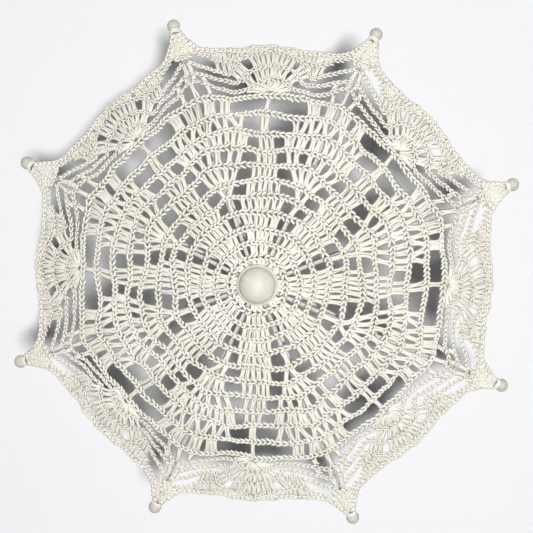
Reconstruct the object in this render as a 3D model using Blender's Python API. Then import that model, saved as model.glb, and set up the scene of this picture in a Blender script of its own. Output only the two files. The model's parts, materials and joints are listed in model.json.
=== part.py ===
"""Lace parasol with an eight-rib folding frame.

Metres, +Z up. The shaft stands on +Z and the origin is the middle of the handle's flat lower
end. The parasol is open: the runner is up, the ribs slope down and outwards from the crown and
the canopy is spread. Rib 1 points along +X and the others follow every 45 degrees.

The frame folds as a pair of equal links: the rib's inner stretch, from the crown wire to the
rivet, is as long as the stretcher, and both inner ends lie at PIVOT_R from the shaft's axis.
So when a rib turns down by an angle, its stretcher turns up by the same angle.
"""

import math

import bmesh
import bpy
from mathutils import Matrix, Vector

# ---- Driving dimensions -------------------------------------------------------------------
MM = 0.001
GAP = 0.3 * MM              # clearance between pieces that do not touch

RIBS = 8
TIP_R = 175 * MM            # shaft axis to the middle of a tip ball, open
RISE = 80 * MM              # crown pivot above the tip balls, open
BOW = 0.55                  # share of the rise that is curved instead of straight
PIVOT_R = 8 * MM            # shaft axis to the hinge lines at crown and runner
CROWN_Z = 296 * MM          # height of the ribs' hinge line
RIVET_R = 81 * MM           # shaft axis to the rivet, open
FOLD_DEG = 60               # turn of a rib from open to closed

RIB_W = 2.2 * MM
RIB_H = 2.2 * MM
RIB_WALL = 0.45 * MM        # wall of the rib's channel
RIB_STEPS = 10
EYE_R = 1.5 * MM            # outer radius of an inner eye
EYE_HOLE_R = 0.8 * MM
WIRE_R = 0.45 * MM
RIVET_SHANK_R = 0.4 * MM
RIVET_HOLE_R = 0.7 * MM
RIVET_HEAD_R = 1.1 * MM
RIVET_HEAD_H = 0.5 * MM

STEM_W = 1.6 * MM           # stretcher's stem
STEM_H = 2.0 * MM
PRONG_W = 0.8 * MM          # each prong of the fork
PRONG_LEN = 13 * MM
SLOT_W = 2.8 * MM           # slots in both notch rings

BALL_R = 4.3 * MM
NECK_R = 2.6 * MM
NECK_LEN = 8 * MM           # from the ball's middle to the neck's open end
SOCKET_DEPTH = 4 * MM
SOCKET_R = 1.9 * MM

SHAFT_R = 3.6 * MM
SHAFT_SIDES = 32
BORE_R = SHAFT_R + GAP      # fixed rings round the shaft
RING_R = 10.4 * MM          # notch rings, outside
RING_H = 4.4 * MM
GROOVE_H = 1.6 * MM         # groove for the wire

SLEEVE_IN_R = SHAFT_R + 0.2 * MM
SLEEVE_OUT_R = 4.9 * MM
SLEEVE_TOP = 3.0 * MM       # above the runner's hinge line
SLEEVE_BOTTOM = 24 * MM     # below the runner's hinge line
WINDOW_W = 2.6 * MM
WINDOW_TOP = 10 * MM        # below the runner's hinge line
WINDOW_H = 8 * MM

CATCH_W = 1.0 * MM
CATCH_LEN = 14 * MM         # hinge end to ledge
CATCH_RAMP = 7.5 * MM       # ledge to the ramp's end, inside the shaft
CATCH_OUT = 1.6 * MM        # how far the nose stands out of the shaft
CATCH_SLOT_W = 1.6 * MM

CLOTH_GAP = 0.7 * MM        # rib's top to the canopy, along the rib
CLOTH_T = 2.0 * MM
CLOTH_IN_R = 12.3 * MM
TIP_EDGE = 0.960            # canopy's edge on the rib line, as a share of TIP_R
SIDE_EDGE = 0.853           # beside the point
BULGE = 0.017               # extra at the middle of a gore
POINT_DEG = 4.8             # how fast the point narrows
BULGE_DEG = 5.0

FLANGE_R = 13 * MM
FLANGE_H = 1.3 * MM
DOME_R = 10.6 * MM
DOME_H = 7.6 * MM
CENTRE_H = 1.8 * MM         # the canopy's clamped centre

HANDLE_LEN = 80 * MM
HANDLE_SIDES = 24
HANDLE_END_R = 7.0 * MM
HANDLE_BORE_DEPTH = 45 * MM
FERRULE_H = 7 * MM
FERRULE_R = 6.2 * MM
STOP_PIN_R = 0.8 * MM
STOP_PIN_LEN = 9.4 * MM

# ---- Colours (linear), roughness, metallic ------------------------------------------------
IVORY = ((0.80, 0.76, 0.66), 0.35, 0.0)
COTTON = ((0.86, 0.83, 0.70), 0.85, 0.0)
PALE_STEEL = ((0.72, 0.70, 0.64), 0.38, 0.6)
BRIGHT_STEEL = ((0.66, 0.66, 0.65), 0.28, 1.0)
PAINTED_WOOD = ((0.82, 0.77, 0.64), 0.45, 0.0)
BRASS = ((0.80, 0.62, 0.30), 0.30, 1.0)


# ---- The frame's geometry -----------------------------------------------------------------
def rib_drop(radius):
    """How far the rib line lies below the crown pivot at a distance from the shaft's axis."""
    t = (radius - PIVOT_R) / (TIP_R - PIVOT_R)
    return RISE * ((1 - BOW) * t + BOW * t * t)


def rib_slope(radius):
    """Downward slope of the rib line, in radians."""
    t = (radius - PIVOT_R) / (TIP_R - PIVOT_R)
    return math.atan(RISE / (TIP_R - PIVOT_R) * ((1 - BOW) + 2 * BOW * t))


RIVET_DROP = rib_drop(RIVET_R)
LINK = math.hypot(RIVET_R - PIVOT_R, RIVET_DROP)
OPEN_ANGLE = math.asin(RIVET_DROP / LINK)
CLOSED_ANGLE = OPEN_ANGLE + math.radians(FOLD_DEG)
RUNNER_Z = CROWN_Z - 2 * LINK * math.sin(OPEN_ANGLE)
RUNNER_TRAVEL = 2 * LINK * (math.sin(CLOSED_ANGLE) - math.sin(OPEN_ANGLE))
CLOSED_RUNNER_Z = RUNNER_Z - RUNNER_TRAVEL


# ---- Helpers ------------------------------------------------------------------------------
def clear_scene():
    for obj in list(bpy.data.objects):
        bpy.data.objects.remove(obj, do_unlink=True)


def make_material(name, look):
    colour, roughness, metallic = look
    material = bpy.data.materials.new(name)
    material.use_nodes = True
    shader = material.node_tree.nodes["Principled BSDF"]
    shader.inputs["Base Color"].default_value = (*colour, 1.0)
    shader.inputs["Roughness"].default_value = roughness
    shader.inputs["Metallic"].default_value = metallic
    return material


def add_object(name, mesh, look, parent=None, location=(0, 0, 0), turn_z=0.0):
    """One named node with its own material, optionally under a joint's empty."""
    mesh = mesh.copy()
    mesh.materials.clear()
    mesh.materials.append(make_material(name, look))
    obj = bpy.data.objects.new(name, mesh)
    bpy.context.collection.objects.link(obj)
    obj.parent = parent
    obj.location = location
    obj.rotation_euler = (0, 0, turn_z)
    return obj


def add_joint(name, location=(0, 0, 0), turn_z=0.0, parent=None):
    empty = bpy.data.objects.new(name, None)
    bpy.context.collection.objects.link(empty)
    empty.empty_display_size = 5 * MM
    empty.parent = parent
    empty.location = location
    empty.rotation_euler = (0, 0, turn_z)
    return empty


def mesh_from(points, faces, smooth_deg=35):
    """A closed mesh with its faces pointing out, smooth below an angle."""
    bm = bmesh.new()
    verts = [bm.verts.new(p) for p in points]
    for face in faces:
        bm.faces.new([verts[i] for i in face])
    bmesh.ops.recalc_face_normals(bm, faces=bm.faces)
    if bm.calc_volume(signed=True) < 0:
        bmesh.ops.reverse_faces(bm, faces=bm.faces)
    mesh = bpy.data.meshes.new("shape")
    bm.to_mesh(mesh)
    bm.free()
    mesh.shade_smooth()
    mesh.set_sharp_from_angle(angle=math.radians(smooth_deg))
    return mesh


def moved(mesh, matrix):
    mesh = mesh.copy()
    mesh.transform(matrix)
    return mesh


def shift(x=0.0, y=0.0, z=0.0):
    return Matrix.Translation((x, y, z))


def turned(profile, sides=SHAFT_SIDES):
    """Revolves (radius, height) points round Z. Ends at radius 0 close with a pole; otherwise
    the profile is a loop, which makes a ring."""
    ring = profile[0][0] > 0 or profile[-1][0] > 0
    points = []
    rows = []
    for radius, height in profile:
        row = []
        if radius == 0:
            row = [len(points)] * sides
            points.append((0, 0, height))
        else:
            for i in range(sides):
                angle = 2 * math.pi * i / sides
                row.append(len(points))
                points.append((radius * math.cos(angle), radius * math.sin(angle), height))
        rows.append(row)
    faces = []
    pairs = list(zip(rows, rows[1:]))
    if ring:
        pairs.append((rows[-1], rows[0]))
    for low, high in pairs:
        for i in range(sides):
            j = (i + 1) % sides
            face = []
            for corner in (low[i], low[j], high[j], high[i]):
                if corner not in face:
                    face.append(corner)
            faces.append(face)
    return mesh_from(points, faces)


def prism(outline, low, high, axis="Y"):
    """Extrudes a 2D outline: in XZ along Y, or in XY along Z."""
    count = len(outline)
    points = []
    for level in (low, high):
        for a, b in outline:
            points.append((a, level, b) if axis == "Y" else (a, b, level))
    faces = [list(range(count)), list(range(2 * count - 1, count - 1, -1))]
    for i in range(count):
        j = (i + 1) % count
        faces.append([i, j, count + j, count + i])
    return mesh_from(points, faces)


def box(x0, x1, y0, y1, z0, z1):
    return prism([(x0, z0), (x1, z0), (x1, z1), (x0, z1)], y0, y1)


def circle(cx, cz, radius, sides, start=0.0):
    points = []
    for i in range(sides):
        angle = start + 2 * math.pi * i / sides
        points.append((cx + radius * math.cos(angle), cz + radius * math.sin(angle)))
    return points


def cross_cylinder(cx, cz, radius, half_length, sides):
    """A cylinder along Y."""
    return prism(circle(cx, cz, radius, sides, math.pi / sides), -half_length, half_length)


def combine(mesh, other, operation):
    """Boolean of two closed meshes, as a new mesh."""
    body = bpy.data.objects.new("body", mesh)
    tool = bpy.data.objects.new("tool", other)
    bpy.context.collection.objects.link(body)
    bpy.context.collection.objects.link(tool)
    modifier = body.modifiers.new("combine", "BOOLEAN")
    modifier.operation = operation
    modifier.object = tool
    depsgraph = bpy.context.evaluated_depsgraph_get()
    result = bpy.data.meshes.new_from_object(body.evaluated_get(depsgraph))
    bpy.data.objects.remove(body)
    bpy.data.objects.remove(tool)
    result.shade_smooth()
    result.set_sharp_from_angle(angle=math.radians(35))
    return result


def cut(mesh, other):
    return combine(mesh, other, "DIFFERENCE")


def join(mesh, other):
    return combine(mesh, other, "UNION")


def arc(cx, cz, radius, start_deg, end_deg, steps):
    points = []
    for i in range(steps + 1):
        angle = math.radians(start_deg + (end_deg - start_deg) * i / steps)
        points.append((cx + radius * math.cos(angle), cz + radius * math.sin(angle)))
    return points


# ---- Shaft, crown and cap -----------------------------------------------------------------
def catch_heights():
    """Ledge heights of the top and the bottom spring catch."""
    top = RUNNER_Z - SLEEVE_BOTTOM - GAP
    bottom = CLOSED_RUNNER_Z - WINDOW_TOP - WINDOW_H + GAP
    return top, bottom


def catch_slot(ledge_z, hinge_side):
    """Cutter for the routed slot in which a catch sits; hinge_side is -1 with the hinge below."""
    z_far = ledge_z + hinge_side * (CATCH_LEN + 2.5 * MM)
    z_near = ledge_z - hinge_side * 1.2 * MM
    half = CATCH_SLOT_W / 2
    return box(-half, half, -2 * SHAFT_R, SHAFT_R - 1.4 * MM, min(z_far, z_near), max(z_far, z_near))


def shaft_mesh():
    bottom = HANDLE_LEN - HANDLE_BORE_DEPTH + GAP
    top = CROWN_Z + RING_H / 2 + CENTRE_H + 6.4 * MM
    chamfer = 0.5 * MM
    profile = [
        (0, bottom),
        (SHAFT_R - chamfer, bottom),
        (SHAFT_R, bottom + chamfer),
        (SHAFT_R, top - chamfer),
        (SHAFT_R - chamfer, top),
        (0, top),
    ]
    mesh = turned(profile)
    top_ledge, bottom_ledge = catch_heights()
    mesh = cut(mesh, catch_slot(top_ledge, -1))
    mesh = cut(mesh, catch_slot(bottom_ledge, 1))
    pin_hole = prism(circle(0, stop_pin_z(), STOP_PIN_R + GAP, 12), -2 * SHAFT_R, 2 * SHAFT_R)
    return cut(mesh, pin_hole)


def stop_pin_z():
    return RUNNER_Z + SLEEVE_TOP + GAP + STOP_PIN_R


def stop_pin_mesh():
    return prism(circle(0, stop_pin_z(), STOP_PIN_R, 12), -STOP_PIN_LEN / 2, STOP_PIN_LEN / 2)


def notch_ring_mesh(bore, groove):
    """A slotted ring about the hinge line, at height 0. The crown's has a groove for the wire."""
    half = RING_H / 2
    edge = 0.6 * MM
    profile = [(bore, -half), (RING_R - edge, -half), (RING_R, -half + edge)]
    if groove:
        floor = PIVOT_R - WIRE_R - GAP
        profile += [
            (RING_R, -GROOVE_H / 2),
            (floor, -GROOVE_H / 2),
            (floor, GROOVE_H / 2),
            (RING_R, GROOVE_H / 2),
        ]
    profile += [(RING_R, half - edge), (RING_R - edge, half), (bore, half)]
    mesh = turned(profile)
    slot_floor = PIVOT_R - EYE_R - GAP
    for i in range(RIBS):
        slot = box(slot_floor, 2 * RING_R, -SLOT_W / 2, SLOT_W / 2, -RING_H, RING_H)
        mesh = cut(mesh, moved(slot, Matrix.Rotation(2 * math.pi * i / RIBS, 4, "Z")))
    return mesh


def crown_wire_mesh():
    """Wire ring whose facets face each other across the ribs' eyes."""
    return turned(circle(PIVOT_R, 0, WIRE_R, 6), 32)


def cap_mesh():
    """Domed cap on a thin flange, with a blind bore for the shaft's end; 0 is its underside."""
    profile = [(BORE_R, 0), (FLANGE_R - 0.4 * MM, 0), (FLANGE_R, 0.4 * MM)]
    profile += [(FLANGE_R, FLANGE_H - 0.4 * MM), (FLANGE_R - 0.4 * MM, FLANGE_H)]
    profile += [(DOME_R + 0.5 * MM, FLANGE_H + 0.1 * MM)]
    dome_steps = 8
    for i in range(1, dome_steps + 1):
        angle = math.pi / 2 * i / dome_steps
        radius = DOME_R * math.cos(angle) ** 0.9 if i < dome_steps else 0
        profile.append((radius, FLANGE_H + DOME_H * math.sin(angle)))
    bore_top = 6.4 * MM
    profile += [(0, bore_top), (BORE_R, bore_top)]
    return turned_blind(profile)


def turned_blind(profile, sides=SHAFT_SIDES):
    """Turns a profile that touches the axis twice, first outside and then at the end of its
    bore: it runs from the bore's end round to the outer middle."""
    start = next(i for i, point in enumerate(profile) if point[0] == 0)
    return turned(profile[start + 1:] + profile[:start + 1], sides)


def centre_mesh():
    """The canopy's centre, clamped between the crown and the cap."""
    radius = CLOTH_IN_R - 0.5 * MM
    profile = [(BORE_R, 0), (radius, 0), (radius, CENTRE_H), (BORE_R, CENTRE_H)]
    return turned(profile)


# ---- Ribs, tips, rivets, stretchers -------------------------------------------------------
def rib_end_radius():
    """Where the rib stops, inside the tip's socket."""
    slope = rib_slope(TIP_R)
    return TIP_R - (NECK_LEN - SOCKET_DEPTH + GAP) * math.cos(slope)


def rib_mesh():
    """Bowed channel, open upwards, with a solid eye on the crown wire. Origin on its hinge."""
    half_w = RIB_W / 2
    half_h = RIB_H / 2
    inner_w = half_w - RIB_WALL
    floor = -half_h + RIB_WALL
    section = [
        (-half_w, -half_h), (half_w, -half_h), (half_w, half_h), (inner_w, half_h),
        (inner_w, floor), (-inner_w, floor), (-inner_w, half_h), (-half_w, half_h),
    ]
    first = PIVOT_R + EYE_R - 0.2 * MM
    last = rib_end_radius()
    points = []
    for step in range(RIB_STEPS + 1):
        radius = first + (last - first) * step / RIB_STEPS
        slope = rib_slope(radius)
        for across, up in section:
            x = radius - PIVOT_R + up * math.sin(slope)
            z = -rib_drop(radius) + up * math.cos(slope)
            points.append((x, across, z))
    count = len(section)
    faces = [list(range(count)), list(range(len(points) - 1, len(points) - count - 1, -1))]
    for step in range(RIB_STEPS):
        base = step * count
        for i in range(count):
            j = (i + 1) % count
            faces.append([base + i, base + j, base + count + j, base + count + i])
    mesh = mesh_from(points, faces)
    mesh = join(mesh, cross_cylinder(0, 0, EYE_R, half_w, 12))
    mesh = cut(mesh, cross_cylinder(0, 0, EYE_HOLE_R, RIB_W, 10))
    hole = cross_cylinder(RIVET_R - PIVOT_R, -RIVET_DROP, RIVET_HOLE_R, RIB_W, 8)
    return cut(mesh, hole)


def rivet_mesh():
    """Shank with two heads, along Y through the rib and the fork."""
    cheek = RIB_W / 2 + GAP + PRONG_W + GAP
    outer = cheek + RIVET_HEAD_H
    profile = [(0, -outer), (RIVET_HEAD_R * 0.7, -outer), (RIVET_HEAD_R, -cheek - 0.1 * MM)]
    profile += [(RIVET_HEAD_R, -cheek), (RIVET_SHANK_R, -cheek)]
    profile += [(radius, -height) for radius, height in reversed(profile)]
    mesh = turned(profile, 8)
    return moved(mesh, Matrix.Rotation(math.pi / 2, 4, "X"))


def tip_mesh():
    """Ball on a waisted neck, with a blind socket for the rib; the ball's middle is at the
    origin and the neck points along -X."""
    profile = [(SOCKET_R, -NECK_LEN), (NECK_R, -NECK_LEN), (NECK_R, -NECK_LEN + 1.6 * MM)]
    profile += [(NECK_R * 0.94, -BALL_R - 0.9 * MM)]
    neck_deg = -50
    ball_steps = 6
    for i in range(ball_steps + 1):
        angle = math.radians(neck_deg + (90 - neck_deg) * i / ball_steps)
        radius = BALL_R * math.cos(angle) if i < ball_steps else 0
        profile.append((radius, BALL_R * math.sin(angle)))
    socket_end = -NECK_LEN + SOCKET_DEPTH
    profile += [(0, socket_end), (SOCKET_R, socket_end)]
    mesh = turned_blind(profile, 12)
    return moved(mesh, Matrix.Rotation(math.pi / 2, 4, "Y"))


def stretcher_mesh():
    """Stem with an eye at the runner and a fork that straddles the rib. The origin is at the
    rivet and the stem points along -X."""
    half = STEM_H / 2
    fork_half_w = RIB_W / 2 + GAP + PRONG_W
    fork_in = RIB_W / 2 + GAP
    mesh = box(-LINK, -PRONG_LEN + 0.5 * MM, -STEM_W / 2, STEM_W / 2, -half, half)
    shoulder = [(-PRONG_LEN - 5 * MM, -STEM_W / 2), (-PRONG_LEN - 5 * MM, STEM_W / 2)]
    shoulder += [(-PRONG_LEN - 1.5 * MM, fork_half_w), (0, fork_half_w)]
    shoulder += [(0, -fork_half_w), (-PRONG_LEN - 1.5 * MM, -fork_half_w)]
    mesh = join(mesh, prism(shoulder, -half * 0.98, half * 0.98, "Z"))
    mesh = join(mesh, cross_cylinder(0, 0, half * 1.12, fork_half_w, 12))
    mesh = join(mesh, cross_cylinder(-LINK, 0, EYE_R, STEM_W / 2 * 1.02, 12))
    mesh = cut(mesh, box(-PRONG_LEN, 4 * MM, -fork_in, fork_in, -4 * MM, 4 * MM))
    mesh = cut(mesh, cross_cylinder(0, 0, RIVET_HOLE_R, 2 * fork_half_w, 8))
    return cut(mesh, cross_cylinder(-LINK, 0, EYE_HOLE_R, 2 * STEM_W, 10))


# ---- Runner and catches -------------------------------------------------------------------
def sleeve_mesh():
    """Tube of the runner, with a thumb flange below and the window for the bottom catch;
    height 0 is the runner's hinge line."""
    lip = SLEEVE_OUT_R + 1.3 * MM
    profile = [
        (SLEEVE_IN_R, -SLEEVE_BOTTOM),
        (lip, -SLEEVE_BOTTOM),
        (lip + 0.3 * MM, -SLEEVE_BOTTOM + 1.0 * MM),
        (lip, -SLEEVE_BOTTOM + 2.0 * MM),
        (SLEEVE_OUT_R, -SLEEVE_BOTTOM + 3.2 * MM),
        (SLEEVE_OUT_R, SLEEVE_TOP),
        (SLEEVE_IN_R, SLEEVE_TOP),
    ]
    half = WINDOW_W / 2
    low = -WINDOW_TOP - WINDOW_H
    window = box(-half, half, -2 * SLEEVE_OUT_R, 0, low, -WINDOW_TOP)
    return cut(turned(profile), window)


def catch_mesh(hinge_side):
    """Flat spring leaf in the YZ plane: a foot in the slot, and a nose with a square ledge and a
    long ramp. Height 0 is the ledge; hinge_side is -1 with the hinge below the ledge."""
    nose_y = -SHAFT_R - CATCH_OUT
    back_y = 0.4 * MM
    foot = CATCH_LEN + 1.6 * MM
    outline = [
        (nose_y, 0),
        (nose_y, 1.0 * MM),
        (-SHAFT_R + 0.4 * MM, CATCH_RAMP),
        (-SHAFT_R + 0.6 * MM, CATCH_LEN - 2 * MM),
        (-SHAFT_R + 0.9 * MM, foot),
        (back_y, foot),
        (back_y, CATCH_LEN - 2 * MM),
        (-SHAFT_R + 1.9 * MM, CATCH_RAMP),
        (-SHAFT_R + 1.9 * MM, 0),
    ]
    points = [(y, hinge_side * along) for y, along in outline]
    half = CATCH_W / 2
    mesh = prism(points, -half, half)
    return moved(mesh, Matrix.Rotation(math.pi / 2, 4, "Z"))


# ---- Handle -------------------------------------------------------------------------------
def handle_mesh():
    """Turned handle with a flat lower end, two beads and a blind bore for the shaft."""
    profile = [(0, 0), (HANDLE_END_R - 0.8 * MM, 0), (HANDLE_END_R, 0.8 * MM)]
    profile += [(HANDLE_END_R, 3.2 * MM)]
    profile += [(5.4 * MM, 4.8 * MM), (5.0 * MM, 6.6 * MM)]
    profile += arc(5.0 * MM, 9.6 * MM, 2.4 * MM, -80, 80, 4)
    profile += [(4.9 * MM, 13.0 * MM), (5.3 * MM, 16 * MM)]
    grip_low = 16 * MM
    grip_high = HANDLE_LEN - 16 * MM
    grip_steps = 8
    for i in range(1, grip_steps):
        t = i / grip_steps
        swell = 5.3 * MM + 2.0 * MM * math.sin(math.pi * t ** 0.8)
        profile.append((swell, grip_low + (grip_high - grip_low) * t))
    profile += [(5.0 * MM, grip_high)]
    profile += arc(5.2 * MM, grip_high + 3.4 * MM, 2.2 * MM, -75, 75, 4)
    profile += [(5.2 * MM, grip_high + 7.0 * MM), (5.8 * MM, HANDLE_LEN)]
    profile += [(BORE_R, HANDLE_LEN), (BORE_R, HANDLE_LEN - HANDLE_BORE_DEPTH)]
    profile += [(0, HANDLE_LEN - HANDLE_BORE_DEPTH)]
    return turned(profile, HANDLE_SIDES)


def ferrule_mesh():
    """Short collar that closes the joint of handle and shaft; height 0 is the handle's top."""
    profile = [(BORE_R, GAP), (FERRULE_R, GAP), (FERRULE_R, 2.0 * MM)]
    profile += [(FERRULE_R - 0.7 * MM, 2.6 * MM), (FERRULE_R - 0.7 * MM, 4.4 * MM)]
    profile += [(FERRULE_R - 0.2 * MM, 5.2 * MM), (BORE_R + 0.8 * MM, FERRULE_H)]
    profile += [(BORE_R, FERRULE_H)]
    return turned(profile, HANDLE_SIDES)


# ---- Canopy -------------------------------------------------------------------------------
def edge_share(offset_deg):
    """Canopy's outline as a share of TIP_R: pointed at the rib, scalloped in mid-gore."""
    side = abs(offset_deg)
    middle = 180 / RIBS - side
    point = (TIP_EDGE - SIDE_EDGE) * math.exp(-side / POINT_DEG)
    return SIDE_EDGE + point + BULGE * math.exp(-(middle / BULGE_DEG) ** 2)


def cloth_height(radius, offset):
    """Underside of the canopy above the crown pivot. The cloth runs straight from rib to rib
    near its edge and is round near the crown."""
    half = math.pi / RIBS
    across = math.cos(half - abs(offset)) / math.cos(half)
    tight = min(1.0, radius / (0.5 * TIP_R))
    line = radius * (1 + tight * (across - 1))
    lift = (RIB_H / 2 + CLOTH_GAP) / math.cos(rib_slope(radius))
    return lift - rib_drop(line)


def sector_mesh():
    """An eighth of the canopy about its rib. Origin on the rib's hinge."""
    rows = 6
    shares = [-1, -0.72, -0.42, -0.22, -0.09, 0, 0.09, 0.22, 0.42, 0.72, 1]
    side_gap = GAP / 2 + 0.05 * MM
    points = []
    for level in (0, CLOTH_T):
        for row in range(rows + 1):
            for share in shares:
                offset = share * math.pi / RIBS
                edge = TIP_R * edge_share(math.degrees(offset))
                radius = CLOTH_IN_R + (edge - CLOTH_IN_R) * row / rows
                x = radius * math.cos(offset)
                y = radius * math.sin(offset)
                if abs(share) == 1:
                    y -= share * side_gap / math.cos(offset)
                points.append((x - PIVOT_R, y, cloth_height(radius, offset) + level))
    width = len(shares)
    top = width * (rows + 1)
    faces = []
    for row in range(rows):
        for i in range(width - 1):
            a = row * width + i
            faces.append([a, a + 1, a + 1 + width, a + width])
            faces.append([top + a + width, top + a + width + 1, top + a + 1, top + a])
    for i in range(width - 1):
        faces.append([i, top + i, top + i + 1, i + 1])
        a = rows * width + i
        faces.append([a, a + 1, top + a + 1, top + a])
    for row in range(rows):
        a = row * width
        faces.append([a, a + width, top + a + width, top + a])
        a += width - 1
        faces.append([a, top + a, top + a + width, a + width])
    return mesh_from(points, faces, 50)


# ---- Assembly -----------------------------------------------------------------------------
def build_root():
    crown_top = CROWN_Z + RING_H / 2
    add_object("shaft", shaft_mesh(), PAINTED_WOOD)
    add_object("stop_pin", stop_pin_mesh(), BRIGHT_STEEL)
    add_object("crown_notch", notch_ring_mesh(BORE_R, True), IVORY, location=(0, 0, CROWN_Z))
    add_object("crown_wire", crown_wire_mesh(), BRIGHT_STEEL, location=(0, 0, CROWN_Z))
    centre_z = crown_top + GAP
    add_object("canopy_centre", centre_mesh(), COTTON, location=(0, 0, centre_z))
    cap_z = centre_z + CENTRE_H + GAP
    add_object("finial_cap", cap_mesh(), IVORY, location=(0, 0, cap_z))
    add_object("handle", handle_mesh(), PAINTED_WOOD)
    add_object("handle_ferrule", ferrule_mesh(), BRASS, location=(0, 0, HANDLE_LEN))


def build_runner():
    slide = add_joint("runner_slide_axis", (0, 0, RUNNER_Z))
    add_object("runner_sleeve", sleeve_mesh(), PALE_STEEL, slide)
    ring = notch_ring_mesh(SLEEVE_OUT_R + GAP, False)
    add_object("runner_ring", ring, IVORY, slide)


def build_catches():
    ledges = catch_heights()
    for name, ledge, side in (("top_catch", ledges[0], -1), ("bottom_catch", ledges[1], 1)):
        offset = side * CATCH_LEN
        axis = add_joint(name + "_axis", (0, 0, ledge + offset))
        add_object(name, moved(catch_mesh(side), shift(z=-offset)), BRIGHT_STEEL, axis)


def build_arms():
    rib = rib_mesh()
    rivet = rivet_mesh()
    tip = tip_mesh()
    stretcher = stretcher_mesh()
    sector = sector_mesh()
    stretcher_turn = Matrix.Rotation(-OPEN_ANGLE, 4, "Y")
    tip_turn = Matrix.Rotation(rib_slope(TIP_R), 4, "Y")
    rivet_place = Vector((RIVET_R - PIVOT_R, 0, -RIVET_DROP))
    for i in range(RIBS):
        number = i + 1
        azimuth = 2 * math.pi * i / RIBS
        hinge_at = (PIVOT_R * math.cos(azimuth), PIVOT_R * math.sin(azimuth), CROWN_Z)
        hinge = add_joint(f"rib_{number}_axis", hinge_at, azimuth)
        add_object(f"rib_{number}", rib, PALE_STEEL, hinge)
        add_object(f"canopy_sector_{number}", sector, COTTON, hinge)
        tip_at = shift(TIP_R - PIVOT_R, 0, -RISE)
        add_object(f"tip_{number}", moved(tip, tip_at @ tip_turn), IVORY, hinge)
        add_object(f"rivet_{number}", rivet, BRIGHT_STEEL, hinge, rivet_place)
        fork = add_joint(f"stretcher_{number}_axis", rivet_place, 0, hinge)
        add_object(f"stretcher_{number}", moved(stretcher, stretcher_turn), PALE_STEEL, fork)


clear_scene()
build_root()
build_runner()
build_catches()
build_arms()
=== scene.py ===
"""The looks of the lace parasol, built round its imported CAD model.

The canopy is crocheted cotton: eight sectors, each worked as rounds of chain loops and posts on
the cloth's own surface, and each riding on its rib. Metres, +Z up, rib 1 along +X.
"""

import json
import math

import bpy
import numpy as np
from mathutils import Matrix, Vector


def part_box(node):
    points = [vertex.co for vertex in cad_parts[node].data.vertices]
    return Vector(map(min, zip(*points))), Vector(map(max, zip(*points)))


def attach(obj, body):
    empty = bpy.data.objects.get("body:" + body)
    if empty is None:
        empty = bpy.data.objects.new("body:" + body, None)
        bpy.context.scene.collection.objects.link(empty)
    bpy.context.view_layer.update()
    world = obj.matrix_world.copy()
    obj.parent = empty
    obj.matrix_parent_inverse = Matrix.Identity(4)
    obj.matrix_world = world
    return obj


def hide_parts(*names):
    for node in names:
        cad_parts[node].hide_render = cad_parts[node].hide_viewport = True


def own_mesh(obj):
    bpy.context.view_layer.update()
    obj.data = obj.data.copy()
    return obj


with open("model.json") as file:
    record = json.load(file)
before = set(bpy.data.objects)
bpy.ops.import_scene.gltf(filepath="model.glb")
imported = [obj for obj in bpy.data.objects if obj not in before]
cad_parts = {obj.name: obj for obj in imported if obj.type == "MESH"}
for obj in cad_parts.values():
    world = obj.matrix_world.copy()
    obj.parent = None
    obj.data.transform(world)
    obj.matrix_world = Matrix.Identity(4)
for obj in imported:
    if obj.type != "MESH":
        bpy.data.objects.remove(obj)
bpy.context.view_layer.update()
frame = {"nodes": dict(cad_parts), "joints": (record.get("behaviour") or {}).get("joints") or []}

MM = 0.001

# ---- The frame's own places ---------------------------------------------------------------
JOINTS = {joint["name"]: joint for joint in frame["joints"]}
PIVOT_R, _, CROWN_Z = JOINTS["rib_1_hinge"]["pos_m"]
RIBS = sum(1 for name in JOINTS if name.startswith("rib_"))
TIP_LOW, TIP_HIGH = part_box("tip_1")
BALL_R = (TIP_HIGH.y - TIP_LOW.y) / 2
TIP_R = TIP_HIGH.x - BALL_R             # shaft axis to the middle of a tip ball
TIP_Z = TIP_LOW.z + BALL_R
RISE = CROWN_Z - TIP_Z
SECTOR = 2 * math.pi / RIBS
HALF_DEG = 180 / RIBS                   # from a rib to the middle of a gore
NECK_R = 2.6 * MM                       # of a tip, as in the CAD model
NECK_LEN = 8 * MM                       # ball's middle to the neck's open end

# ---- The cloth's surface, as in the CAD model ----------------------------------------------
BOW = 0.55                              # share of the rise that is curved instead of straight
RIB_H = 2.2 * MM
CLOTH_GAP = 0.7 * MM
CLOTH_T = 2.0 * MM
DRIFT = 1.0 * MM                        # size of the stitches' slow drift
SLOPE_STEP = 1.2 * MM                   # half the distance over which the cloth's slope is taken


def rib_slope(radius):
    """Downward slope of the rib line, in radians."""
    t = (radius - PIVOT_R) / (TIP_R - PIVOT_R)
    return np.arctan(RISE / (TIP_R - PIVOT_R) * ((1 - BOW) + 2 * BOW * t))


def cloth_height(radius, azimuth):
    """Height of the middle of the cloth. It is creased over each rib and smooth between them."""
    half = SECTOR / 2
    offset = np.abs((azimuth + half) % SECTOR - half)
    across = np.cos(half - offset) / math.cos(half)
    tight = np.minimum(1.0, radius / (0.5 * TIP_R))
    line = radius * (1 + tight * (across - 1))
    t = (line - PIVOT_R) / (TIP_R - PIVOT_R)
    lift = (RIB_H / 2 + CLOTH_GAP + CLOTH_T / 2) / np.cos(rib_slope(radius))
    return CROWN_Z + lift - RISE * ((1 - BOW) * t + BOW * t * t)


def unit(vectors):
    return vectors / np.linalg.norm(vectors, axis=-1, keepdims=True)


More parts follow.
